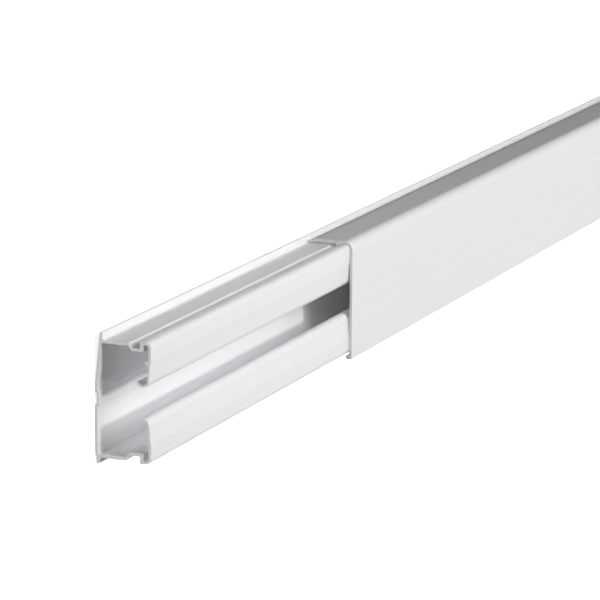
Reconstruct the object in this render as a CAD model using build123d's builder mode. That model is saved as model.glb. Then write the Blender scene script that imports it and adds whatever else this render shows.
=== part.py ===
from build123d import *
import math
import os

# Surface cable trunking: a wall channel and its clip-on cover, both long extrusions of rigid PVC.
# Millimetres. X runs along the trunking, Y is up the wall and Z is out of the wall.
# The origin is on the wall plane, half way along and half way up the channel.
# Sections are drawn in (Y, Z): first number up the wall, second number out of the wall.

os.makedirs("parts", exist_ok=True)

# Lengths
base_length = 2000.0
exposed_length = 198.5  # stretch of base that the cover leaves open at the near end
cover_length = base_length - exposed_length

# Channel
channel_width = 44.0  # over the outer faces of the two side walls
channel_depth = 22.4  # wall plane to the front of the noses
base_wall = 1.1
edge_round = 0.25  # broken edges along the free rims of both extrusions
bend_round = 0.35  # every bend of the groove
root_round = 0.2  # inner corners where the cover's leg and bead spring from its wall

# Back plate: it stands past both side walls, and bows off the wall towards its long edges
top_flange = 3.0  # past the upper side wall
foot_flange = 2.25  # past the lower side wall
top_bow = 2.0
top_bow_run = 19.0
foot_bow = 0.8
foot_bow_run = 5.5
center_key_width = 4.7  # shallow channel along the middle of the plate's wall side
center_key_depth = 0.65
center_key_slope = 0.35

# Cover groove, one along each side wall, and the nose in front of it
groove_depth = 1.95
groove_width = 2.7  # upper groove, at its floor
groove_ramp = 1.2  # run of its sloping back
foot_groove_width = 3.4  # lower groove
foot_groove_ramp = 2.1
nose_rise = 0.8  # nose above the side wall's outer face
nose_depth = 4.5  # groove to the front of the nose
nose_wall = 1.4  # thicker rear wall of the nose
nose_drop = 7.9  # top of the nose to the crease where the thin lip starts

# Sprung lips, one each side of the front slot
slot_width = 11.7
lip_wall = 0.8
lip_set_back = 0.3  # step at the crease
lip_lean = 4.5  # degrees
lip_lap = 0.8  # thin lip running on behind the nose
hook_radius = 2.7
hook_turn = 128.0  # degrees
hook_tip = 1.2
barb_height = 1.8
barb_rise = 1.4  # its root above the crease
barb_drop = 1.0  # its root below the crease

# Cover
fit_clearance = 0.2  # between the base and the cover
cover_wall = 1.15
fold_radius = 4.0
heel_bevel_run = 1.2  # tapered rear edge of the cover
leg_wall = 1.2
bead_gap = 0.25
bead_height = 1.75
bead_reach = 1.35  # inwards from the cover's front wall
bead_round = 0.6

# Derived heights (Y) and depths (Z) of the base section
side_y = channel_width / 2
nose_y = side_y + nose_rise
groove_y = side_y - groove_depth
crease_y = nose_y - nose_drop
plate_top_y = side_y + top_flange
plate_foot_y = -(side_y + foot_flange)
groove_front_z = channel_depth - nose_depth

# Derived places of the cover, all from the base and the clearance
cover_inner_z = channel_depth + fit_clearance
cover_front_z = cover_inner_z + cover_wall
cover_inner_y = nose_y + fit_clearance
cover_top_y = cover_inner_y + cover_wall
bead_top_y = -(nose_y + bead_gap)
cover_foot_y = bead_top_y - bead_height
leg_front_z = groove_front_z - fit_clearance
leg_tip_y = groove_y + fit_clearance

# The nose follows the inside of the cover's fold at the same clearance
nose_radius = fold_radius - cover_wall - fit_clearance


# Depth of the bowed plate's wall side at a height above its bow's start
def top_bow_z(y):
    return top_bow * (y - (plate_top_y - top_bow_run)) / top_bow_run


# Back plate: its wall side is drawn once and thickened outwards
def draw_back_plate():
    key_y = center_key_width / 2
    floor_y = key_y - center_key_slope
    with BuildSketch() as plate:
        with BuildLine():
            Polyline(
                (plate_foot_y, foot_bow),
                (plate_foot_y + foot_bow_run, 0),
                (-key_y, 0),
                (-floor_y, center_key_depth),
                (floor_y, center_key_depth),
                (key_y, 0),
                (plate_top_y - top_bow_run, 0),
                (plate_top_y, top_bow),
            )
            offset(amount=base_wall, side=Side.LEFT, kind=Kind.INTERSECTION)
        make_face()
        rims = plate.vertices().sort_by(Axis.X)
        fillet(rims[:2] + rims[-2:], radius=edge_round)
    return plate.sketch


# Upper side wall with its cover groove and nose: the outer skin, thickened into the channel
def draw_side_wall(floor_width, ramp_run):
    groove_back_z = groove_front_z - floor_width
    with BuildSketch() as side:
        with BuildLine():
            Polyline(
                (side_y, 0),
                (side_y, groove_back_z - ramp_run),
                (groove_y, groove_back_z),
                (groove_y, groove_front_z),
                (nose_y, groove_front_z),
                (nose_y, channel_depth - nose_radius),
            )
            RadiusArc(
                (nose_y, channel_depth - nose_radius),
                (nose_y - nose_radius, channel_depth),
                -nose_radius,
            )
            Line((nose_y - nose_radius, channel_depth), (crease_y, channel_depth))
            offset(amount=base_wall, side=Side.LEFT, kind=Kind.INTERSECTION)
        make_face()
        with Locations((nose_y - base_wall, groove_front_z)):
            Rectangle(nose_y - groove_y, nose_wall, align=(Align.MAX, Align.MIN))
        nose_start_z = channel_depth - nose_radius
        bends = side.vertices().filter_by(lambda corner: bend_round < corner.Y < nose_start_z - bend_round)
        fillet(bends, radius=bend_round)
    return side.sketch


# Upper sprung lip: it leans back from the crease, then hooks round into the channel
def draw_lip():
    lean = math.radians(lip_lean)
    front_z = channel_depth - lip_set_back
    bend_y = slot_width / 2 + hook_radius * (1 - math.sin(lean))
    bend_z = front_z - math.tan(lean) * (crease_y - bend_y)
    lap_z = front_z + math.tan(lean) * lip_lap
    with BuildSketch() as lip:
        with BuildLine():
            blade = Line((crease_y + lip_lap, min(lap_z, channel_depth)), (bend_y, bend_z))
            hook = JernArc(start=blade @ 1, tangent=blade % 1, radius=hook_radius, arc_size=hook_turn)
            PolarLine(start=hook @ 1, length=hook_tip, direction=hook % 1)
            offset(amount=lip_wall, side=Side.LEFT, kind=Kind.INTERSECTION)
        make_face()
        fillet(lip.vertices().sort_by(Axis.Y)[:2], radius=edge_round)
    return lip.sketch


# Barb on the inner face, behind the crease
def draw_barb():
    root_z = channel_depth - base_wall
    buried_z = channel_depth - base_wall / 2
    with BuildSketch() as barb:
        with BuildLine():
            Polyline(
                (crease_y - barb_drop, buried_z),
                (crease_y - barb_drop, root_z),
                (crease_y, root_z - barb_height),
                (crease_y + barb_rise, root_z),
                (crease_y + barb_rise, buried_z),
                close=True,
            )
        make_face()
    return barb.sketch


# Space between the wall plane and the bowed plate, taken out of the side walls' roots
def draw_wall_gap():
    with BuildSketch() as gap:
        with BuildLine():
            Polyline(
                (plate_top_y - top_bow_run, 0),
                (plate_top_y, top_bow),
                (plate_top_y, 0),
                close=True,
            )
        make_face()
        with BuildLine():
            Polyline(
                (plate_foot_y + foot_bow_run, 0),
                (plate_foot_y, foot_bow),
                (plate_foot_y, 0),
                close=True,
            )
        make_face()
    return gap.sketch


# Base: one extrusion of the whole channel section
with BuildPart() as base:
    with BuildSketch(Plane.YZ.offset(-base_length / 2)):
        add(draw_lip())
        add(draw_barb())
        mirror(about=Plane.YZ)
        add(draw_side_wall(groove_width, groove_ramp))
        mirror(draw_side_wall(foot_groove_width, foot_groove_ramp), about=Plane.YZ)
        add(draw_wall_gap(), mode=Mode.SUBTRACT)
        add(draw_back_plate())
    extrude(amount=base_length)

base.part.label = "base"
export_step(base.part, "parts/base.step")


# Cover skin: rear edge, fold and front wall, thickened inwards, with a tapered rear edge
def draw_cover_skin():
    rear_z = top_bow_z(cover_inner_y) + base_wall + fit_clearance
    with BuildSketch() as skin:
        with BuildLine():
            FilletPolyline(
                (cover_top_y, rear_z),
                (cover_top_y, cover_front_z),
                (bead_top_y, cover_front_z),
                radius=fold_radius,
            )
            offset(amount=cover_wall, side=Side.LEFT, kind=Kind.INTERSECTION)
        make_face()
        rear = skin.vertices().sort_by(Axis.Y)[:2].sort_by(Axis.X)[-1]
        chamfer(rear, length=heel_bevel_run, length2=cover_wall * 0.75)
    return skin.sketch


# Hook leg that stands in the base's upper groove
def draw_hook_leg():
    with BuildSketch() as leg:
        with Locations(((cover_top_y - edge_round + leg_tip_y) / 2, leg_front_z - leg_wall / 2)):
            Rectangle(cover_top_y - edge_round - leg_tip_y, leg_wall)
        fillet(leg.vertices().group_by(Axis.X)[0], radius=leg_wall / 3)
    return leg.sketch


# Bead along the foot of the cover, which clips under the base's lower nose
def draw_bead():
    tip_z = cover_inner_z - bead_reach
    with BuildSketch() as bead:
        with Locations((bead_top_y - bead_height / 2, (tip_z + cover_front_z) / 2)):
            Rectangle(bead_height, cover_front_z - tip_z)
        tip = bead.vertices().group_by(Axis.Y)[0]
        foot = bead.vertices().group_by(Axis.Y)[-1].sort_by(Axis.X)[0]
        fillet(tip + [foot], radius=bead_round)
    return bead.sketch


# Inner corners of the cover's section, at both sides of the leg and above the bead
def root_corners(corners):
    leg_back_z = leg_front_z - leg_wall
    roots = [
        (cover_inner_y, leg_back_z),
        (cover_inner_y, leg_front_z),
        (bead_top_y, cover_inner_z),
    ]
    return [corners.sort_by_distance((y, z, 0))[0] for y, z in roots]


# Cover: one extrusion, set back from the near end and flush with the base at the far end
with BuildPart() as cover:
    with BuildSketch(Plane.YZ.offset(exposed_length - base_length / 2)) as section:
        add(draw_cover_skin())
        add(draw_hook_leg())
        add(draw_bead())
        fillet(root_corners(section.vertices()), radius=root_round)
    extrude(amount=cover_length)

cover.part.label = "cover"
export_step(cover.part, "parts/cover.step")
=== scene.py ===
"""Looks of a surface cable trunking: a wall channel of white rigid PVC and its clip-on cover.

The trunking lies on its back plate. X runs along it, Y is up the wall and Z is out of the wall.
Each extrusion is drawn as one closed outline of rounded corners and carried along X.
Section sizes are in millimetres, as on a section drawing, and every mesh is in metres.
"""

from __future__ import annotations

import logging
import math
from dataclasses import dataclass
from enum import Enum

import bpy
import numpy as np
from mathutils import Matrix, Vector

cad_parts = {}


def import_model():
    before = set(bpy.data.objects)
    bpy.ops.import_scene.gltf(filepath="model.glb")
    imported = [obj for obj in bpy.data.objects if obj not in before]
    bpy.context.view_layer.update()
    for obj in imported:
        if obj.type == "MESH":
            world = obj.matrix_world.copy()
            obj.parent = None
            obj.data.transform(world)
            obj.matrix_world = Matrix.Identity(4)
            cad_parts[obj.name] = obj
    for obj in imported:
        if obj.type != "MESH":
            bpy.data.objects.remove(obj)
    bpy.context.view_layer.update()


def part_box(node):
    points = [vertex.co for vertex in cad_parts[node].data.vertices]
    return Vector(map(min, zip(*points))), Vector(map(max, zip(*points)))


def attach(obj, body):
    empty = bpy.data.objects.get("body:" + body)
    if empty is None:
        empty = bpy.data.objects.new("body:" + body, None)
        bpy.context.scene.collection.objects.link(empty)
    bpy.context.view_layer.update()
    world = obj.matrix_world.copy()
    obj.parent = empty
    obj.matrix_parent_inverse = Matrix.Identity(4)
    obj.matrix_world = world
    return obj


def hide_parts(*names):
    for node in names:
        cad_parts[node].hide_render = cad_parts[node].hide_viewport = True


MM = 0.001
EXTRUSION_UV = "extrusion"
RIM_ATTRIBUTE = "rim"
RIM_TURN = 1.2  # turn that makes a corner a full rim, in radians
RIM_ROUNDS = (0.8, 4.8)  # a round up to the first makes a full rim, and one past the second makes none
PVC_IOR = 1.53
WHITE = (1.0, 1.0, 1.0)
MIX_COLOURS = (6, 7)  # places of a Mix node's two colours among its inputs
MIX_RESULT = 2  # place of the mixed colour among its outputs

Socket = bpy.types.NodeSocket
Sockets = bpy.types.bpy_prop_collection

log = logging.getLogger("trunking")


def polyline(*points: tuple[float, float]) -> np.ndarray:
    """Points of a section, (up, out), as one array of two columns."""
    return np.array(points, float)


def thickened(line: np.ndarray, wall: float) -> np.ndarray:
    """The line moved to its left by the wall.

    Each run moves along its own left normal. An inner corner goes where its two moved runs meet,
    which is the wall times the sum of the two normals over one plus their dot product.

    Args:
        line: Corners of the line, in millimetres.
        wall: Distance to move it, in millimetres.

    Returns:
        The moved corners, one for each corner of the line.
    """
    runs = np.diff(line, axis=0)
    runs /= np.linalg.norm(runs, axis=1, keepdims=True)
    left = np.stack([-runs[:, 1], runs[:, 0]], axis=1)
    before = np.vstack([left[:1], left])
    after = np.vstack([left, left[-1:]])
    spread = 1 + np.sum(before * after, axis=1, keepdims=True)
    return line + wall * (before + after) / spread


def height_on(line: np.ndarray, up: float) -> float:
    """How far out of the wall a line stands at one height."""
    order = np.argsort(line[:, 0])
    return float(np.interp(up, line[order, 0], line[order, 1]))


def with_radius(points: np.ndarray, radius: float | list[float]) -> np.ndarray:
    """Corners as rows of (up, out, radius)."""
    radii = np.broadcast_to(np.asarray(radius, float), (len(points),))
    return np.column_stack([points, radii])


@dataclass(frozen=True)
class Outline:
    """A sampled closed outline, with the solid on its left.

    Attributes:
        points: Places up and out of the wall, in millimetres.
        normals: Unit normals out of the solid at those places.
        run: Distance gone round the outline, in millimetres, with the closing value at its end.
        rim: How much each place stands on a tight outer corner, from 0 to 1.
    """

    points: np.ndarray
    normals: np.ndarray
    run: np.ndarray
    rim: np.ndarray

    @classmethod
    def of_corners(cls, corners: np.ndarray, steps: int) -> Outline:
        """Rounds every corner with an arc and samples the arcs.

        With an incoming and an outgoing direction and the turn between them, the arc starts before the
        corner by its radius times the tangent of half the turn. Its centre lies a radius to the side that
        the line turns to. The direction turns evenly along the arc, a point is the centre less the radius
        times the direction's left normal, and the normal out of the solid is on the direction's right.

        Args:
            corners: Rows of (up, out, radius), with the solid on the left.
            steps: Samples on each arc.

        Returns:
            The outline, with steps samples for each corner.
        """
        at, radius = corners[:, :2], corners[:, 2]
        leaving = np.roll(at, -1, axis=0) - at
        leaving /= np.linalg.norm(leaving, axis=1, keepdims=True)
        coming = np.roll(leaving, 1, axis=0)
        turn = np.arctan2(
            coming[:, 0] * leaving[:, 1] - coming[:, 1] * leaving[:, 0],
            np.sum(coming * leaving, axis=1),
        )
        side = np.sign(turn)
        start = at - coming * (radius * np.tan(np.abs(turn) / 2))[:, None]
        centre = start + np.stack([-coming[:, 1], coming[:, 0]], axis=1) * (side * radius)[:, None]
        turned = turn[:, None] * np.linspace(0, 1, steps)
        heading = np.arctan2(coming[:, 1], coming[:, 0])[:, None] + turned
        normals = np.stack([np.sin(heading), -np.cos(heading)], axis=2)
        points = centre[:, None, :] + normals * (side * radius)[:, None, None]
        full, none = RIM_ROUNDS
        tight = np.clip((none - radius) / (none - full), 0, 1)
        rim = np.repeat(np.clip(turn / RIM_TURN, 0, 1) * tight, steps)
        points = points.reshape(-1, 2)
        stride = np.linalg.norm(np.roll(points, -1, axis=0) - points, axis=1)
        run = np.concatenate([[0.0], np.cumsum(stride)])
        return cls(points, normals.reshape(-1, 2), run, rim)


def skin_faces(rows: int, count: int) -> tuple[np.ndarray, np.ndarray]:
    """Station and step round the section of every face of a skin, as two grids."""
    return np.meshgrid(np.arange(rows - 1), np.arange(count), indexing="ij")


class Facet(Enum):
    """Which finish a face of an extrusion takes."""

    SKIN = 0
    CUT = 1


@dataclass
class Extrusion:
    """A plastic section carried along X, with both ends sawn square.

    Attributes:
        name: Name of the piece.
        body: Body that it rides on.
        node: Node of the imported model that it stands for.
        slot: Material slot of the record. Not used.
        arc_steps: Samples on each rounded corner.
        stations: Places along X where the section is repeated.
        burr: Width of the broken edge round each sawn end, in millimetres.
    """

    name: str
    body: str
    node: str
    slot: str
    arc_steps: int = 9
    stations: int = 41
    burr: float = 0.07

    def corners(self) -> np.ndarray:
        """Rows of (up, out, radius) round the section."""
        raise NotImplementedError

    def ends(self) -> tuple[float, float]:
        """Lowest and highest X of its node."""
        low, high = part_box(self.node)
        return low.x, high.x

    def mesh(self) -> bpy.types.Mesh:
        """Carries the outline along X and closes both ends.

        A vertex is the station's X and the outline's place less the burr times the outline's normal,
        with the burr only at the two end stations. The skin's normals are the outline's own, so a flat
        wall stays flat up to its corners.

        Returns:
            The mesh, with its faces pointing outwards.
        """
        outline = Outline.of_corners(self.corners(), self.arc_steps)
        start, end = self.ends()
        burr = self.burr * MM
        along = np.concatenate([[start], np.linspace(start + burr, end - burr, self.stations), [end]])
        inset = np.zeros(len(along))
        inset[[0, -1]] = burr
        count, rows = len(outline.points), len(along)

        section = outline.points * MM
        place = section[None] - outline.normals[None] * inset[:, None, None]
        vertices = np.empty((rows, count, 3))
        vertices[:, :, 0] = along[:, None]
        vertices[:, :, 1:] = place

        row, step = skin_faces(rows, count)
        after = (step + 1) % count
        here, ahead = row * count, (row + 1) * count
        quads = np.stack([here + step, here + after, ahead + after, ahead + step], axis=-1).reshape(-1, 4)
        near = np.arange(count)[::-1]
        far = (rows - 1) * count + np.arange(count)
        faces = quads.tolist() + [near.tolist(), far.tolist()]

        mesh = bpy.data.meshes.new(self.name)
        mesh.from_pydata(vertices.reshape(-1, 3).tolist(), [], faces)
        self.mark_cuts(mesh)
        self.unroll(mesh, outline, along)
        self.store_rims(mesh, outline, rows)
        self.shade(mesh, outline, quads)
        return mesh

    def mark_cuts(self, mesh: bpy.types.Mesh) -> None:
        """Gives the two end faces, which are the last, the cut finish."""
        facet = np.full(len(mesh.polygons), Facet.SKIN.value, np.int32)
        facet[-2:] = Facet.CUT.value
        mesh.polygons.foreach_set("material_index", facet)

    def unroll(self, mesh: bpy.types.Mesh, outline: Outline, along: np.ndarray) -> None:
        """Maps the skin by metres along X and metres round the section, and the ends by their own place.

        Args:
            mesh: The extrusion.
            outline: Its section.
            along: X of each station.
        """
        row, step = skin_faces(len(along), len(outline.points))
        back, ahead = along[row], along[row + 1]
        lengthways = np.stack([back, back, ahead, ahead], axis=-1)
        here, there = outline.run[step], outline.run[step + 1]
        around = np.stack([here, there, there, here], axis=-1)
        skin = np.stack([lengthways, around * MM], axis=-1).reshape(-1, 2)
        section = outline.points * MM
        flat = np.concatenate([skin, section[::-1], section])
        layer = mesh.uv_layers.new(name=EXTRUSION_UV)
        layer.data.foreach_set("uv", flat.astype(np.float32).ravel())

    def store_rims(self, mesh: bpy.types.Mesh, outline: Outline, rows: int) -> None:
        """Keeps how much each place stands on a tight outer corner.

        Args:
            mesh: The extrusion.
            outline: Its section.
            rows: Stations along X, with both ends.
        """
        exposed = np.tile(outline.rim, rows).astype(np.float32)
        layer = mesh.attributes.new(RIM_ATTRIBUTE, "FLOAT", "POINT")
        layer.data.foreach_set("value", exposed)

    def shade(self, mesh: bpy.types.Mesh, outline: Outline, quads: np.ndarray) -> None:
        """Sets each face corner's normal.

        Args:
            mesh: The extrusion.
            outline: Its section.
            quads: Vertices of each skin face.
        """
        count = len(outline.points)
        across = np.zeros((count, 3))
        across[:, 1:] = outline.normals
        skin = across[quads % count].reshape(-1, count, 4, 3)
        skin[0, :, :, 0] = -1.0
        skin[-1, :, :, 0] = 1.0
        skin /= np.linalg.norm(skin, axis=-1, keepdims=True)
        caps = np.zeros((2, count, 3))
        caps[0, :, 0], caps[1, :, 0] = -1.0, 1.0
        normals = np.concatenate([skin.reshape(-1, 3), caps.reshape(-1, 3)])
        mesh.polygons.foreach_set("use_smooth", np.ones(len(mesh.polygons), bool))
        mesh.normals_split_custom_set(normals.tolist())
        mesh.update()

    def build(self, skin: bpy.types.Material, cut: bpy.types.Material) -> None:
        """Makes the piece, dresses it and sets it on its body.

        Args:
            skin: Finish of the extruded faces.
            cut: Finish of the sawn ends.
        """
        mesh = self.mesh()
        mesh.materials.append(skin)
        mesh.materials.append(cut)
        piece = bpy.data.objects.new(self.name, mesh)
        bpy.context.scene.collection.objects.link(piece)
        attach(piece, self.body)
        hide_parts(self.node)
        size = np.ptp(np.array(piece.bound_box), axis=0)
        log.info("%s: %d faces, %s mm", self.name, len(mesh.polygons), np.round(size / MM, 2).tolist())


@dataclass
class WallChannel(Extrusion):
    """The base: a back plate, two side walls with cover grooves, and two sprung lips.

    Lengths are in millimetres and angles in degrees.
    """

    name: str = "wall_channel"
    body: str = "base"
    node: str = "base"
    slot: str = "base_plastic"
    width: float = 44.0  # over the outer faces of the side walls
    depth: float = 22.4  # wall plane to the front of the noses
    wall: float = 1.1  # wall thickness
    edge_round: float = 0.25  # edges of the foot and of the hooks' tips
    bend_round: float = 0.35  # bends of the grooves
    root_round: float = 0.25  # inner corners where the side walls stand on the back plate
    flange_root_round: float = 1.3  # outer corners there
    flange_edge_round: float = 0.5  # both edges of the plate's top
    crisp_round: float = 0.1  # nearly sharp corners, at the creases and on the barbs
    bow_round: float = 2.0  # bends where the plate leaves the wall
    key_round: float = 0.12  # corners of the key channel
    top_flange: float = 3.0  # plate past the upper side wall
    foot_flange: float = 2.25  # plate past the lower side wall
    top_bow: float = 2.0  # how far the plate's top stands off the wall
    top_bow_run: float = 19.0  # height over which it gets there
    foot_bow: float = 0.8  # how far the plate's foot stands off the wall
    foot_bow_run: float = 5.5  # height over which it gets there
    key_width: float = 4.7  # shallow key channel along the middle of the plate's wall side
    key_depth: float = 0.65  # its depth
    key_slope: float = 0.35  # run of each of its sides
    groove_depth: float = 1.95  # cover groove under the side wall's outer face
    groove_width: float = 2.7  # floor of the upper groove
    groove_ramp: float = 1.6  # run of its sloping back
    foot_groove_width: float = 3.4  # floor of the lower groove
    foot_groove_ramp: float = 2.1  # run of its sloping back
    nose_rise: float = 0.8  # nose above the side wall's outer face
    nose_depth: float = 4.5  # groove to the front of the nose
    nose_wall: float = 1.4  # rear wall of the nose
    nose_drop: float = 7.9  # top of the nose to the crease where the thin lip starts
    nose_round: float = 2.25  # round of the nose, inside the cover's fold
    slot_width: float = 11.7  # front slot between the two hooks
    lip_wall: float = 0.8  # wall of the lips
    lip_set_back: float = 0.3  # step at the upper crease
    foot_lip_set_back: float = 0.16  # step at the lower crease
    crease_share: float = 0.47  # most of the step that each of the crease's two rounds may take
    lip_lean: float = 4.5  # lean of the lips into the channel
    hook_radius: float = 2.7  # outer radius of the hooks
    hook_turn: float = 128.0  # turn of the hooks
    hook_tip: float = 1.2  # straight end of the hooks
    barb_height: float = 1.8  # barb behind each crease
    barb_rise: float = 1.4  # its root above the crease
    barb_drop: float = 1.0  # its root below the crease

    def plate_rear(self) -> np.ndarray:
        """Wall side of the back plate, from its foot to its top."""
        key, floor = self.key_width / 2, self.key_width / 2 - self.key_slope
        top, foot = self.width / 2 + self.top_flange, -(self.width / 2 + self.foot_flange)
        return polyline(
            (foot, self.foot_bow),
            (foot + self.foot_bow_run, 0),
            (-key, 0),
            (-floor, self.key_depth),
            (floor, self.key_depth),
            (key, 0),
            (top - self.top_bow_run, 0),
            (top, self.top_bow),
        )

    def lip(self, set_back: float) -> tuple[np.ndarray, np.ndarray]:
        """Sprung lip: a leaning blade and a hooked tip, which meet at the corner that the hook rounds.

        Args:
            set_back: Depth of the step at the crease.

        Returns:
            The front line from the crease to the tip, and the rear line moved in by the lip's wall.
        """
        lean = math.radians(self.lip_lean)
        crease = self.width / 2 + self.nose_rise - self.nose_drop
        blade = np.array([-math.cos(lean), -math.sin(lean)])
        tip = lean + math.radians(self.hook_turn)
        tip_way = np.array([-math.cos(tip), -math.sin(tip)])
        start = np.array([crease, self.depth - set_back])
        bend_up = self.slot_width / 2 + self.hook_radius * (1 - math.sin(lean))
        reach = self.hook_radius * math.tan(math.radians(self.hook_turn) / 2)
        bend = start + blade * (crease - bend_up) / math.cos(lean)
        corner = bend + blade * reach
        front = np.array([start, corner, corner + tip_way * (reach + self.hook_tip)])
        return front, thickened(front, self.lip_wall)

    def side(
        self, plate_front: np.ndarray, groove_width: float, groove_ramp: float, set_back: float
    ) -> np.ndarray:
        """Upper side wall, nose, lip and barb, from the outer root round to the inner root.

        Args:
            plate_front: Front line of the back plate, which both roots stand on.
            groove_width: Width of the groove's floor.
            groove_ramp: Run of the groove's sloping back.
            set_back: Depth of the step at the lip's crease.

        Returns:
            Rows of (up, out, radius).
        """
        side_y = self.width / 2
        nose_y = side_y + self.nose_rise
        groove_y = side_y - self.groove_depth
        crease = nose_y - self.nose_drop
        groove_front = self.depth - self.nose_depth
        groove_back = groove_front - groove_width
        skin = polyline(
            (side_y, 0),
            (side_y, groove_back - groove_ramp),
            (groove_y, groove_back),
            (groove_y, groove_front),
            (nose_y, groove_front),
            (nose_y, self.depth),
            (crease, self.depth),
        )
        inner = thickened(skin, self.wall)
        inner[3:5, 1] = groove_front + self.nose_wall  # inner face of the nose's thicker rear wall
        front, rear = self.lip(set_back)
        crease_round = min(self.crisp_round, self.crease_share * set_back)
        barb_foot = crease - self.barb_drop
        barb_root = self.depth - self.wall
        barb = polyline(
            (barb_foot, height_on(rear[:2], barb_foot)),
            (crease, barb_root - self.barb_height),
            (crease + self.barb_rise, barb_root),
        )
        inner_y = side_y - self.wall
        outer_root = polyline((side_y, height_on(plate_front, side_y)))
        inner_root = polyline((inner_y, height_on(plate_front, inner_y)))
        bends = [self.bend_round] * 4
        return np.vstack(
            [
                with_radius(outer_root, self.flange_root_round),
                with_radius(skin[1:], bends + [self.nose_round, crease_round]),
                with_radius(front, [crease_round, self.hook_radius, self.edge_round]),
                with_radius(rear[:0:-1], [self.edge_round, self.hook_radius - self.lip_wall]),
                with_radius(barb, self.crisp_round),
                with_radius(inner[5:0:-1], [self.nose_round - self.wall] + bends),
                with_radius(inner_root, self.root_round),
            ]
        )

    def corners(self) -> np.ndarray:
        """Whole section, anticlockwise seen from the far end, starting at the foot of the wall side."""
        rear = self.plate_rear()
        front = thickened(rear, self.wall)
        upper = self.side(front, self.groove_width, self.groove_ramp, self.lip_set_back)
        mirrored = front * np.array([-1.0, 1.0])
        lower = self.side(mirrored, self.foot_groove_width, self.foot_groove_ramp, self.foot_lip_set_back)
        lower = lower[::-1] * np.array([-1.0, 1.0, 1.0])
        bends = [self.bow_round] + [self.key_round] * 4 + [self.bow_round]
        return np.vstack(
            [
                with_radius(rear, [self.edge_round, *bends, self.flange_edge_round]),
                with_radius(front[-1:], self.flange_edge_round),
                upper,
                with_radius(front[-2:0:-1], bends),
                lower,
                with_radius(front[:1], self.edge_round),
            ]
        )


@dataclass
class ClipOnCover(Extrusion):
    """The cover: a front wall, a fold and a bevelled rear edge, with a hook leg and a bead at the foot.

    Lengths are in millimetres.
    """

    name: str = "clip_on_cover"
    body: str = "cover"
    node: str = "cover"
    slot: str = "cover_plastic"
    wall: float = 1.15  # wall thickness
    fold: float = 4.0  # outer radius of the fold
    inner_up: float = 23.0  # height of the top's inner face
    inner_out: float = 22.6  # inner face of the front wall, out of the wall
    rear_out: float = 3.35  # rear edge, out of the wall
    bevel_run: float = 4.0  # run of the bevel over the top
    bevel_depth: float = 1.6  # its depth at the rear edge
    bevel_round: float = 1.0  # rounds where the bevel and the heel start
    heel_run: float = 3.0  # run over which the inner face dips to the rear edge
    heel_drop: float = 0.65  # how far it dips
    leg_front: float = 17.7  # front face of the hook leg
    leg_wall: float = 1.2  # its thickness
    leg_tip: float = 20.25  # height of its end
    bead_top: float = -23.05  # height of the bead's upper face
    bead_height: float = 1.75  # its height
    bead_reach: float = 1.35  # how far it stands in from the front wall
    bead_round: float = 0.6  # its rounds
    root_round: float = 0.2  # inner corners beside the leg and over the bead
    crisp_round: float = 0.1  # nearly sharp corners of the rear edge

    def corners(self) -> np.ndarray:
        """Whole section, the same way round as the base's, starting at the rear edge."""
        top, front = self.inner_up + self.wall, self.inner_out + self.wall
        foot, tip = self.bead_top - self.bead_height, self.inner_out - self.bead_reach
        leg_back = self.leg_front - self.leg_wall
        return np.array(
            [
                (top - self.bevel_depth, self.rear_out, self.crisp_round),
                (top, self.rear_out + self.bevel_run, self.bevel_round),
                (top, front, self.fold),
                (foot, front, self.bead_round),
                (foot, tip, self.bead_round),
                (self.bead_top, tip, self.bead_round),
                (self.bead_top, self.inner_out, self.root_round),
                (self.inner_up, self.inner_out, self.fold - self.wall),
                (self.inner_up, self.leg_front, self.root_round),
                (self.leg_tip, self.leg_front, self.leg_wall / 3),
                (self.leg_tip, leg_back, self.leg_wall / 3),
                (self.inner_up, leg_back, self.root_round),
                (self.inner_up, self.rear_out + self.heel_run, self.bevel_round),
                (self.inner_up - self.heel_drop, self.rear_out, self.crisp_round),
            ]
        )


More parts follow.
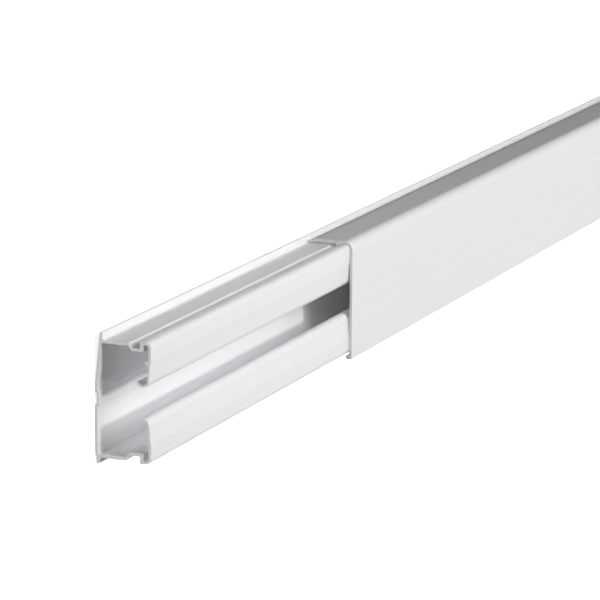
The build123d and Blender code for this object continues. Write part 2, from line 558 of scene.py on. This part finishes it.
class Graph:
    """Short calls to place and join shader nodes."""

    def __init__(self, tree: bpy.types.NodeTree) -> None:
        """Keeps the tree to work on."""
        self.tree = tree

    def node(self, kind: str, **values: object) -> bpy.types.Node:
        """A new node.

        Args:
            kind: Its type name.
            values: Properties of the node by name.
        """
        made = self.tree.nodes.new(kind)
        for key, value in values.items():
            setattr(made, key, value)
        return made

    def feed(self, socket: Socket, value: object) -> None:
        """Joins an output to an input, or writes a plain value in it.

        Args:
            socket: The input.
            value: An output socket, or a number, colour or vector.
        """
        if isinstance(value, Socket):
            self.tree.links.new(value, socket)
        else:
            socket.default_value = value

    def math(self, operation: str, first: object, second: object, clamp: bool = False) -> Socket:
        """The result of one Math node.

        Args:
            operation: Its operation.
            first: First value or socket.
            second: Second value or socket.
            clamp: Keeps the result from 0 to 1.
        """
        made = self.node("ShaderNodeMath", operation=operation, use_clamp=clamp)
        self.feed(made.inputs[0], first)
        self.feed(made.inputs[1], second)
        return made.outputs[0]

    def weighed(self, first: object, second: object, share: float) -> Socket:
        """The sum of two values by their shares.

        Args:
            first: First value or socket.
            second: Second value or socket.
            share: Share of the first. The second has the rest.
        """
        rest = self.math("MULTIPLY", second, 1 - share)
        return self.math("ADD", self.math("MULTIPLY", first, share), rest)

    def swing(self, value: object, middle: float, width: float) -> Socket:
        """A value of 0 to 1 spread over a width about a middle.

        Args:
            value: The value or socket.
            middle: What 0.5 gives.
            width: Distance from what 0 gives to what 1 gives.
        """
        return self.math("ADD", self.math("MULTIPLY", value, width), middle - width / 2)

    def ramp(
        self, value: object, source: tuple[float, float], target: tuple[float, float] = (0.0, 1.0)
    ) -> Socket:
        """One range of values mapped onto another, smoothly and without running past it.

        Args:
            value: The value or socket.
            source: Its range.
            target: The range to map it onto.
        """
        made = self.node("ShaderNodeMapRange", interpolation_type="SMOOTHSTEP")
        for socket, given in zip(made.inputs, (value, *source, *target)):
            self.feed(socket, given)
        return made.outputs[0]

    def scaled(self, vector: object, by: tuple[float, float, float]) -> Socket:
        """A vector times three numbers.

        Args:
            vector: The vector's socket.
            by: The three numbers.
        """
        made = self.node("ShaderNodeVectorMath", operation="MULTIPLY")
        self.feed(made.inputs[0], vector)
        self.feed(made.inputs[1], by)
        return made.outputs[0]

    def noise(self, vector: object, scale: float, detail: float, rough: float = 0.5) -> Socket:
        """Smooth noise from 0 to 1.

        Args:
            vector: Where it is read.
            scale: Its scale.
            detail: Its octaves.
            rough: Weight of the finer octaves.
        """
        made = self.node("ShaderNodeTexNoise")
        self.feed(made.inputs["Vector"], vector)
        self.feed(made.inputs["Scale"], scale)
        self.feed(made.inputs["Detail"], detail)
        self.feed(made.inputs["Roughness"], rough)
        return made.outputs["Fac"]

    def drawn_noise(
        self, vector: object, scale: tuple[float, float, float], detail: float, rough: float = 0.5
    ) -> Socket:
        """Smooth noise that is drawn out where its scale is small and squeezed where it is large.

        Args:
            vector: Where it is read.
            scale: Its scale along each direction.
            detail: Its octaves.
            rough: Weight of the finer octaves.
        """
        return self.noise(self.scaled(vector, scale), 1.0, detail, rough)

    def mixed(self, share: object, first: object, second: object) -> Socket:
        """Two colours mixed.

        Args:
            share: Share of the second, as a value or socket.
            first: First colour or socket.
            second: Second colour or socket.
        """
        made = self.node("ShaderNodeMix", data_type="RGBA")
        self.feed(made.inputs[0], share)
        for place, colour in zip(MIX_COLOURS, (first, second)):
            self.feed(made.inputs[place], colour)
        return made.outputs[MIX_RESULT]

    def bump(self, height: object, share: float, reach: float) -> Socket:
        """The normal of a face with relief.

        Args:
            height: Its height, as a value or socket.
            share: How much of the relief shows.
            reach: How far a height of 1 stands out, in millimetres.
        """
        made = self.node("ShaderNodeBump")
        self.feed(made.inputs["Strength"], share)
        self.feed(made.inputs["Distance"], reach * MM)
        self.feed(made.inputs["Height"], height)
        return made.outputs[0]

    def end_in_plastic(self, values: dict[str, object]) -> None:
        """Ends a material in one plastic shader.

        Args:
            values: A value or socket for each of the shader's inputs by name.
        """
        plastic = self.node("ShaderNodeBsdfPrincipled")
        self.feed(plastic.inputs["IOR"], PVC_IOR)
        for name, value in values.items():
            self.feed(plastic.inputs[name], value)
        self.feed(self.node("ShaderNodeOutputMaterial").inputs["Surface"], plastic.outputs[0])


def blank_graph(holder: bpy.types.Material | bpy.types.World) -> Graph:
    """The graph of a new material or world, with no nodes in it."""
    holder.use_nodes = True
    holder.node_tree.nodes.clear()
    return Graph(holder.node_tree)


class Effect:
    """A shader node group with named inputs and outputs, built once and placed in each finish.

    Attributes:
        title: Name of the group.
        inputs: Type and value of each input by name.
        outputs: Name of each output.
    """

    title = ""
    inputs: dict[str, tuple[str, float]] = {}
    outputs: tuple[str, ...] = ()

    def tree(self) -> bpy.types.NodeTree:
        """The group's node tree, made at its first use."""
        found = bpy.data.node_groups.get(self.title)
        if found:
            return found
        made = bpy.data.node_groups.new(self.title, "ShaderNodeTree")
        for name, (kind, value) in self.inputs.items():
            socket = made.interface.new_socket(name, in_out="INPUT", socket_type=kind)
            if kind == "NodeSocketFloat":
                socket.default_value = value
        for name in self.outputs:
            made.interface.new_socket(name, in_out="OUTPUT", socket_type="NodeSocketFloat")
        graph = Graph(made)
        source = graph.node("NodeGroupInput").outputs
        target = graph.node("NodeGroupOutput").inputs
        self.wire(graph, source, target)
        return made

    def wire(self, graph: Graph, source: Sockets, target: Sockets) -> None:
        """Joins the group's inputs to its outputs.

        Args:
            graph: The group's graph.
            source: Sockets that bring the inputs.
            target: Sockets that take the outputs.
        """
        raise NotImplementedError

    def place(self, graph: Graph, **values: object) -> Sockets:
        """Places the group in a material.

        Args:
            graph: The material's graph.
            values: A value or socket for each input by name.

        Returns:
            Its outputs.
        """
        node = graph.node("ShaderNodeGroup", node_tree=self.tree())
        for name, value in values.items():
            graph.feed(node.inputs[name], value)
        return node.outputs


class DieLines(Effect):
    """Faint lines that the die leaves along an extrusion, finer and wider ones together.

    The map's second number runs round the section, so noise squeezed along that number and drawn out
    along the first makes lines that fade in and out over their length.
    """

    title = "die_lines"
    inputs = {"Vector": ("NodeSocketVector", 0.0), "Depth": ("NodeSocketFloat", 1.0)}
    outputs = ("Height", "Tone")
    fine_scale = (1.5, 2600.0, 1.0)
    fine_share = 0.35
    broad_scale = (0.6, 420.0, 1.0)
    tone_span = (0.25, 0.75)

    def wire(self, graph: Graph, source: Sockets, target: Sockets) -> None:
        """Adds fine and broad lines and weighs them by the depth."""
        fine = graph.drawn_noise(source["Vector"], self.fine_scale, 2.0)
        broad = graph.drawn_noise(source["Vector"], self.broad_scale, 3.0)
        centred = graph.math("SUBTRACT", graph.weighed(fine, broad, self.fine_share), 0.5)
        graph.feed(target["Height"], graph.math("MULTIPLY", centred, source["Depth"]))
        graph.feed(target["Tone"], graph.ramp(broad, self.tone_span))


class MeltCloud(Effect):
    """Slow clouding of the melt and a fine grain, both in the plastic's own space."""

    title = "melt_cloud"
    inputs = {"Vector": ("NodeSocketVector", 0.0)}
    outputs = ("Cloud", "Grain")
    cloud_scale = (9.0, 38.0, 38.0)
    cloud_span = (0.3, 0.7)
    grain_scale = 3800.0

    def wire(self, graph: Graph, source: Sockets, target: Sockets) -> None:
        """Reads wide noise drawn out along X, and tight noise that is the same all ways."""
        wide = graph.drawn_noise(source["Vector"], self.cloud_scale, 3.0, 0.55)
        graph.feed(target["Cloud"], graph.ramp(wide, self.cloud_span))
        graph.feed(target["Grain"], graph.noise(source["Vector"], self.grain_scale, 2.0, 0.6))


class HandlingWear(Effect):
    """Polish and scuffs of handling: rubbed outer corners, and short strokes on open faces."""

    title = "handling_wear"
    inputs = {
        "Vector": ("NodeSocketVector", 0.0),
        "Rim": ("NodeSocketFloat", 0.0),
        "Amount": ("NodeSocketFloat", 1.0),
    }
    outputs = ("Polish", "Scuff")
    patch_scale = 60.0
    patch_span = (0.42, 0.62)
    patch_range = (0.25, 1.0)
    stroke_scale = (70.0, 900.0, 900.0)
    stroke_peaks = (0.74, 0.82)

    def wire(self, graph: Graph, source: Sockets, target: Sockets) -> None:
        """Breaks up the rims with noise, and keeps only the peaks of a stretched noise as strokes."""
        patches = graph.noise(source["Vector"], self.patch_scale, 4.0, 0.6)
        kept = graph.ramp(patches, self.patch_span, self.patch_range)
        rubbed = graph.math("MULTIPLY", source["Rim"], kept)
        strokes = graph.drawn_noise(source["Vector"], self.stroke_scale, 1.0)
        for name, mask in (("Polish", rubbed), ("Scuff", graph.ramp(strokes, self.stroke_peaks))):
            graph.feed(target[name], graph.math("MULTIPLY", mask, source["Amount"], clamp=True))


class SawMarks(Effect):
    """Fine slanted strokes of the saw over an end, with shallow pits between them."""

    title = "saw_marks"
    inputs = {"Vector": ("NodeSocketVector", 0.0)}
    outputs = ("Height", "Tone")
    slant = 24.0
    stroke_scale = (1.0, 3600.0, 240.0)
    stroke_share = 0.7
    pit_scale = 2400.0
    tone_span = (0.3, 0.7)

    def wire(self, graph: Graph, source: Sockets, target: Sockets) -> None:
        """Reads noise that is squeezed across the strokes in a turned frame."""
        turned = graph.node("ShaderNodeVectorRotate", rotation_type="X_AXIS")
        graph.feed(turned.inputs["Vector"], source["Vector"])
        graph.feed(turned.inputs["Angle"], math.radians(self.slant))
        strokes = graph.drawn_noise(turned.outputs[0], self.stroke_scale, 2.0)
        pits = graph.noise(source["Vector"], self.pit_scale, 2.0, 0.6)
        marks = graph.weighed(strokes, pits, self.stroke_share)
        graph.feed(target["Height"], marks)
        graph.feed(target["Tone"], graph.ramp(marks, self.tone_span))


def tint(colour: tuple[float, float, float], by: float) -> tuple[float, float, float, float]:
    """A colour times one number, as a socket takes it."""
    return (colour[0] * by, colour[1] * by, colour[2] * by, 1.0)


@dataclass(frozen=True)
class ExtrudedPvc:
    """White rigid PVC as it leaves the die: a soft sheen, faint lines along it and a slight cloudiness.

    Attributes:
        name: Name of the material.
        colour: Base colour.
        melt_tints: Its darkest and lightest tint, as shares of the colour.
        cloud_share: Share of the clouding in the tint. The die lines have the rest.
        scuff_tint: Tint of a scuff, as a share of the colour.
        scuff_share: How much of that tint shows.
        roughness: Middle roughness.
        cloud_roughness: Its swing with the clouding.
        polish: Roughness that rubbed rims lose.
        dryness: Roughness that scuffs gain.
        line_depth: Depth of the die lines.
        grain_depth: Depth of the grain.
        relief: How far a depth of 1 stands out, in millimetres.
        relief_share: How much of the relief shows.
        wear: Amount of handling wear.
        sheen: Specular level of the surface.
        glow: How much of the light enters the plastic before it leaves it.
        glow_reach: How far it goes inside, in millimetres.
    """

    name: str
    colour: tuple[float, float, float] = (0.922, 0.926, 0.931)
    melt_tints: tuple[float, float] = (0.983, 1.013)
    cloud_share: float = 0.5
    scuff_tint: float = 0.93
    scuff_share: float = 0.35
    roughness: float = 0.46
    cloud_roughness: float = 0.07
    polish: float = 0.1
    dryness: float = 0.12
    line_depth: float = 1.3
    grain_depth: float = 0.12
    relief: float = 0.03
    relief_share: float = 0.35
    wear: float = 1.0
    sheen: float = 0.04
    glow: float = 0.5
    glow_reach: float = 1.0

    def material(self) -> bpy.types.Material:
        """Builds the finish."""
        made = bpy.data.materials.new(self.name)
        graph = blank_graph(made)
        place = graph.node("ShaderNodeTexCoord").outputs["Object"]
        unrolled = graph.node("ShaderNodeUVMap", uv_map=EXTRUSION_UV).outputs["UV"]
        rim = graph.node("ShaderNodeAttribute", attribute_name=RIM_ATTRIBUTE).outputs["Fac"]
        lines = DieLines().place(graph, Vector=unrolled, Depth=self.line_depth)
        cloud = MeltCloud().place(graph, Vector=place)
        wear = HandlingWear().place(graph, Vector=place, Rim=rim, Amount=self.wear)

        tone = graph.weighed(cloud["Cloud"], lines["Tone"], self.cloud_share)
        dark, light = [tint(self.colour, by) for by in self.melt_tints]
        scuffs = graph.math("MULTIPLY", wear["Scuff"], self.scuff_share)
        colour = graph.mixed(scuffs, graph.mixed(tone, dark, light), tint(self.colour, self.scuff_tint))

        rough = graph.swing(cloud["Cloud"], self.roughness, self.cloud_roughness)
        rough = graph.math("SUBTRACT", rough, graph.math("MULTIPLY", wear["Polish"], self.polish))
        rough = graph.math("ADD", rough, graph.math("MULTIPLY", wear["Scuff"], self.dryness))

        grain = graph.math("MULTIPLY", cloud["Grain"], self.grain_depth)
        relief = graph.math("ADD", lines["Height"], grain)
        graph.end_in_plastic(
            {
                "Base Color": colour,
                "Roughness": rough,
                "Normal": graph.bump(relief, self.relief_share, self.relief),
                "Specular IOR Level": self.sheen,
                "Subsurface Weight": self.glow,
                "Subsurface Radius": WHITE,
                "Subsurface Scale": self.glow_reach * MM,
            }
        )
        return made


@dataclass(frozen=True)
class SawnPvc:
    """The same plastic where a saw has cut it: dry, marked by the teeth, and darker than the skin as
    painted shade on the sawn ends.

    Attributes:
        name: Name of the material.
        colour: Base colour, darker than the skin's as painted shade on the sawn ends.
        dust_tints: Its darkest and lightest tint, as shares of the colour.
        roughness: Middle roughness.
        mark_roughness: Its swing with the saw marks.
        relief: How far a mark of 1 stands out, in millimetres.
        relief_share: How much of the relief shows.
        sheen: Specular level of the surface.
    """

    name: str
    # Darker than the skin's colour: painted shade on the sawn ends, not a darker plastic.
    colour: tuple[float, float, float] = (0.73, 0.733, 0.737)
    dust_tints: tuple[float, float] = (0.95, 1.04)
    roughness: float = 0.62
    mark_roughness: float = 0.12
    relief: float = 0.05
    relief_share: float = 0.5
    sheen: float = 0.3

    def material(self) -> bpy.types.Material:
        """Builds the finish."""
        made = bpy.data.materials.new(self.name)
        graph = blank_graph(made)
        place = graph.node("ShaderNodeTexCoord").outputs["Object"]
        marks = SawMarks().place(graph, Vector=place)
        dark, light = [tint(self.colour, by) for by in self.dust_tints]
        graph.end_in_plastic(
            {
                # Saw-mark tones over a colour that is darkened as painted shade.
                "Base Color": graph.mixed(marks["Tone"], dark, light),
                "Roughness": graph.swing(marks["Tone"], self.roughness, self.mark_roughness),
                "Normal": graph.bump(marks["Height"], self.relief_share, self.relief),
                "Specular IOR Level": self.sheen,
            }
        )
        return made


@dataclass(frozen=True)
class Fill:
    """A weaker round lamp that evens out one side.

    Attributes:
        name: Name of the lamp.
        place: Where it hangs, in metres.
        aim: The point that it faces.
        width: Its width, in metres.
        level: Its level at the aim, at which 1 lights a facing white surface fully.
    """

    name: str
    place: tuple[float, float, float]
    aim: tuple[float, float, float]
    width: float
    level: float


@dataclass(frozen=True)
class Studio:
    """A white floor, a soft key lamp over the front, round fill lamps about the trunking and a plain sky.

    Attributes:
        key_tilt_up: How far the key leans up the wall, in degrees.
        key_tilt_near: How far it leans towards the near end, in degrees.
        key_level: Its level, at which 1 lights a facing white surface fully.
        key_softness: Its angle across, in degrees.
        key_height: Where it hangs, in metres, which changes nothing in its parallel light.
        fills: The weaker lamps.
        sky_level: Level of the sky that lights the object.
        sky_tint: Its colour, a little cool.
        floor_size: Half the floor's width, in metres.
        floor_gap: How far it lies under the wall plane, in metres.
        floor_white: Its colour, as the camera sees it.
        floor_bounce: Share of the light that the floor passes on to the object.
        floor_lift: Light that the floor adds of its own, as the camera sees it.
        bounces: Times that light is followed from wall to wall, which is most of what lights the chamber.
        spare_bounces: What the limit for all kinds of bounce has over that.
    """

    key_tilt_up: float = 18.0
    key_tilt_near: float = 8.0
    key_level: float = 0.37
    key_softness: float = 7.0
    key_height: float = 3.0
    fills: tuple[Fill, ...] = (
        Fill("front_fill", (-0.98, 0.3, 0.48), (-0.86, 0.0, 0.01), 0.2, 0.31),
        Fill("cover_fill", (-0.4, 0.1, 0.6), (-0.5, 0.0, 0.02), 0.3, 0.27),
        Fill("far_fill", (0.6, -0.1, 0.8), (0.55, 0.0, 0.02), 0.4, 0.38),
        Fill("end_fill", (-2.6, 0.25, 0.12), (-1.0, 0.0, 0.01), 0.3, 0.6),
        Fill("back_fill", (1.9, -2.2, 0.8), (0.0, 0.0, 0.0), 1.2, 0.25),
    )
    sky_level: float = 0.05
    sky_tint: tuple[float, float, float] = (0.96, 1.0, 1.07)
    floor_size: float = 60.0
    floor_gap: float = 0.0002
    floor_white: float = 0.92
    floor_bounce: float = 0.05
    floor_lift: float = 0.85
    bounces: int = 16
    spare_bounces: int = 8

    def by_ray(self, graph: Graph, lighting: Socket, seen: Socket) -> Socket:
        """One shader for the rays that light the object, and one for those that see the background.

        Args:
            graph: Graph of the floor or the sky.
            lighting: Shader for the first kind of ray.
            seen: Shader for camera, glossy and transmission rays.

        Returns:
            Both as one shader.
        """
        path = graph.node("ShaderNodeLightPath").outputs
        direct = graph.math("MAXIMUM", path["Is Camera Ray"], path["Is Glossy Ray"])
        either = graph.node("ShaderNodeMixShader")
        graph.feed(either.inputs[0], graph.math("MAXIMUM", direct, path["Is Transmission Ray"]))
        graph.feed(either.inputs[1], lighting)
        graph.feed(either.inputs[2], seen)
        return either.outputs[0]

    def sky(self) -> None:
        """Lights the object plainly and shows white behind it."""
        world = bpy.data.worlds.new("studio_sky")
        graph = blank_graph(world)
        white = graph.node("ShaderNodeBackground")
        graph.feed(white.inputs["Color"], tint(WHITE, 1.0))
        plain = graph.node("ShaderNodeBackground")
        graph.feed(plain.inputs["Color"], tint(self.sky_tint, 1.0))
        graph.feed(plain.inputs["Strength"], self.sky_level)
        surface = self.by_ray(graph, plain.outputs[0], white.outputs[0])
        graph.feed(graph.node("ShaderNodeOutputWorld").inputs["Surface"], surface)
        bpy.context.scene.world = world

    def floor_finish(self) -> bpy.types.Material:
        """White paper to the eye, which still takes a shadow, and a paler bounce for the object."""
        made = bpy.data.materials.new("studio_floor")
        graph = blank_graph(made)
        bounce = graph.node("ShaderNodeBsdfDiffuse")
        graph.feed(bounce.inputs["Color"], tint(WHITE, self.floor_bounce))
        paper = graph.node("ShaderNodeBsdfDiffuse")
        graph.feed(paper.inputs["Color"], tint(WHITE, self.floor_white))
        lift = graph.node("ShaderNodeEmission")
        graph.feed(lift.inputs["Strength"], self.floor_lift)
        seen = graph.node("ShaderNodeAddShader")
        graph.feed(seen.inputs[0], paper.outputs[0])
        graph.feed(seen.inputs[1], lift.outputs[0])
        surface = self.by_ray(graph, bounce.outputs[0], seen.outputs[0])
        graph.feed(graph.node("ShaderNodeOutputMaterial").inputs["Surface"], surface)
        return made

    def floor(self) -> None:
        """Lays the floor just under the wall plane."""
        half, level = self.floor_size, -self.floor_gap
        mesh = bpy.data.meshes.new("studio_floor")
        corners = [(-half, -half, level), (half, -half, level), (half, half, level), (-half, half, level)]
        mesh.from_pydata(corners, [], [(0, 1, 2, 3)])
        mesh.materials.append(self.floor_finish())
        laid = bpy.data.objects.new("studio_floor", mesh)
        bpy.context.scene.collection.objects.link(laid)

    def lamp(self, name: str, kind: str, away: Vector, place: Vector) -> bpy.types.Object:
        """A new lamp, hung and turned.

        Args:
            name: Its name.
            kind: Its type.
            away: Direction from the lit object back to the lamp.
            place: Where it hangs.
        """
        light = bpy.data.lights.new(name, kind)
        hung = bpy.data.objects.new(name, light)
        hung.location = place
        hung.rotation_mode = "QUATERNION"
        hung.rotation_quaternion = away.to_track_quat("Z", "Y")
        bpy.context.scene.collection.objects.link(hung)
        return hung

    def build(self) -> None:
        """Sets up the floor, the sky, the key and the fills.

        A white surface is fully lit by pi watts a square metre. A round lamp lights what faces it by its
        power over pi times the distance squared.
        """
        bpy.context.scene.cycles.diffuse_bounces = self.bounces
        bpy.context.scene.cycles.max_bounces = self.bounces + self.spare_bounces
        self.sky()
        self.floor()
        near = -math.tan(math.radians(self.key_tilt_near))
        up = math.tan(math.radians(self.key_tilt_up))
        away = Vector((near, up, 1.0)).normalized()
        key = self.lamp("key_lamp", "SUN", away, Vector((0.0, 0.0, self.key_height)))
        key.data.energy = self.key_level * math.pi
        key.data.angle = math.radians(self.key_softness)
        for fill in self.fills:
            place, aim = Vector(fill.place), Vector(fill.aim)
            hung = self.lamp(fill.name, "AREA", (place - aim).normalized(), place)
            hung.data.shape = "DISK"
            hung.data.size = fill.width
            hung.data.energy = fill.level * (math.pi * (place - aim).length) ** 2
            hung.visible_camera = False
        log.info("studio: floor, sky, key and %d fills", len(self.fills))


@dataclass(frozen=True)
class Camera:
    """The photograph's camera.

    Attributes:
        place: Where it stands, in metres.
        ahead: The way it looks.
        down: The way that is down in the picture.
        lens: Its lens, in millimetres.
        sensor: Width of its sensor, in millimetres.
        sight: Nearest and farthest that it sees, in metres.
    """

    place: tuple[float, float, float] = (-2.28890, 0.33941, 0.59507)
    ahead: tuple[float, float, float] = (0.90824, -0.20840, -0.36285)
    down: tuple[float, float, float] = (-0.19033, -0.97801, 0.08530)
    lens: float = 240.0
    sensor: float = 36.0
    sight: tuple[float, float] = (0.05, 200.0)

    def build(self) -> None:
        """Stands the camera up and makes it the scene's."""
        back = -Vector(self.ahead).normalized()
        above = -Vector(self.down)
        above = (above - back * above.dot(back)).normalized()
        right = above.cross(back)
        data = bpy.data.cameras.new("photo_camera")
        data.lens = self.lens
        data.sensor_width = self.sensor
        data.clip_start, data.clip_end = self.sight
        stood = bpy.data.objects.new("photo_camera", data)
        turned = Matrix((right, above, back)).transposed().to_4x4()
        stood.matrix_world = Matrix.Translation(Vector(self.place)) @ turned
        bpy.context.scene.collection.objects.link(stood)
        bpy.context.scene.camera = stood


def main() -> None:
    """Builds the studio, the camera and the two pieces."""
    logging.basicConfig(level=logging.INFO, format="%(name)s %(message)s")
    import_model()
    bpy.context.scene.view_settings.view_transform = "Standard"
    Studio().build()
    Camera().build()
    channel_skin = ExtrudedPvc("channel_pvc", wear=0.8)
    # Both sawn ends take colours darker than the skin's, as painted shade.
    channel_cut = SawnPvc("channel_cut")
    cover_skin = ExtrudedPvc("cover_pvc", roughness=0.42, line_depth=0.9, sheen=0.0)
    # The cover's sawn ends take a still darker colour, as painted shade.
    cover_cut = SawnPvc("cover_cut", (0.5, 0.503, 0.507))
    WallChannel().build(channel_skin.material(), channel_cut.material())
    ClipOnCover().build(cover_skin.material(), cover_cut.material())


if __name__ == "__main__":
    main()
